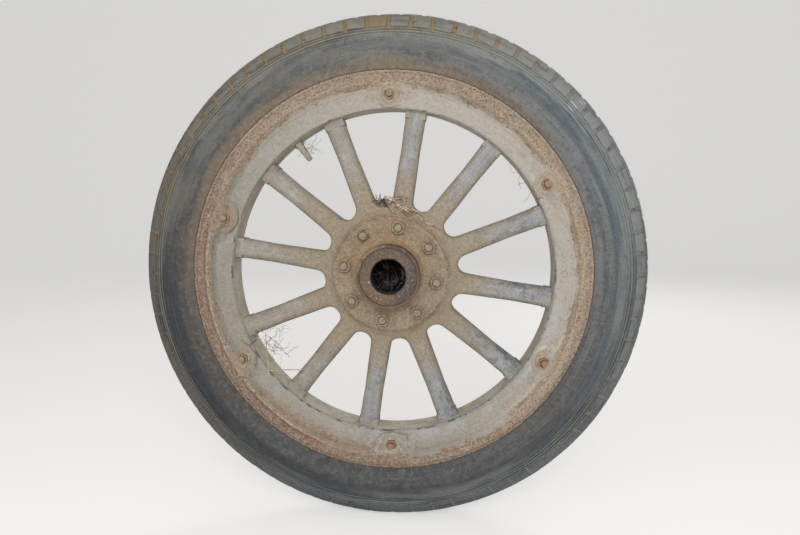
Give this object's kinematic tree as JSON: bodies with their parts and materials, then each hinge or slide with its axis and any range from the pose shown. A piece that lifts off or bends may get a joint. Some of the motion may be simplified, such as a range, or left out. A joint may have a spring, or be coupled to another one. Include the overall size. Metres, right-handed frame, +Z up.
{
  "type": "wooden-spoked car wheel with tyre",
  "caption": "Wooden-spoked artillery wheel of a 1920s car: bolted steel hub, split wooden felloe, demountable steel rim held by clamp lugs, and a tall narrow pneumatic tyre.",
  "frame": {"origin": "on the axle line, in the middle plane of the wooden felloe and of the tyre", "axes": "+Y along the axle towards the car, -Y is the outer side with the hub nose, +Z up"},
  "size_m": [0.83, 0.142, 0.83],
  "materials": {
    "tyre_rubber": "matt, dusty, slate grey",
    "painted_wood": "old cream paint under dust, flaking",
    "rusty_steel": "pitted brown rust",
    "hub_iron": "coated with dry tan mud",
    "bolt_steel": "rusty and muddy",
    "bearing_steel": "brown, dull, greasy dust",
    "valve_brass": "dull, covered with pale dust"
  },
  "bodies": {
    "root": {"tyre": "tyre_rubber", "rim": "rusty_steel", "felloe_band": "rusty_steel", "felloe_upper": "painted_wood", "felloe_lower": "painted_wood", "hub_shell": "hub_iron", "hub_front_plate": "hub_iron", "hub_outer_bearing": "bearing_steel", "hub_inner_bearing": "bearing_steel", "hub_bolts": "bolt_steel", "hub_nuts": "bolt_steel", "rim_lugs": "rusty_steel", "rim_bolts": "bolt_steel", "rim_nuts": "bolt_steel", "valve": "valve_brass", "spoke_01": "painted_wood", "spoke_02": "painted_wood", "spoke_03": "painted_wood", "spoke_04": "painted_wood", "spoke_05": "painted_wood", "spoke_06": "painted_wood", "spoke_07": "painted_wood", "spoke_08": "painted_wood", "spoke_09": "painted_wood", "spoke_10": "painted_wood", "spoke_11": "painted_wood", "spoke_12": "painted_wood"}
  },
  "joints": []
}
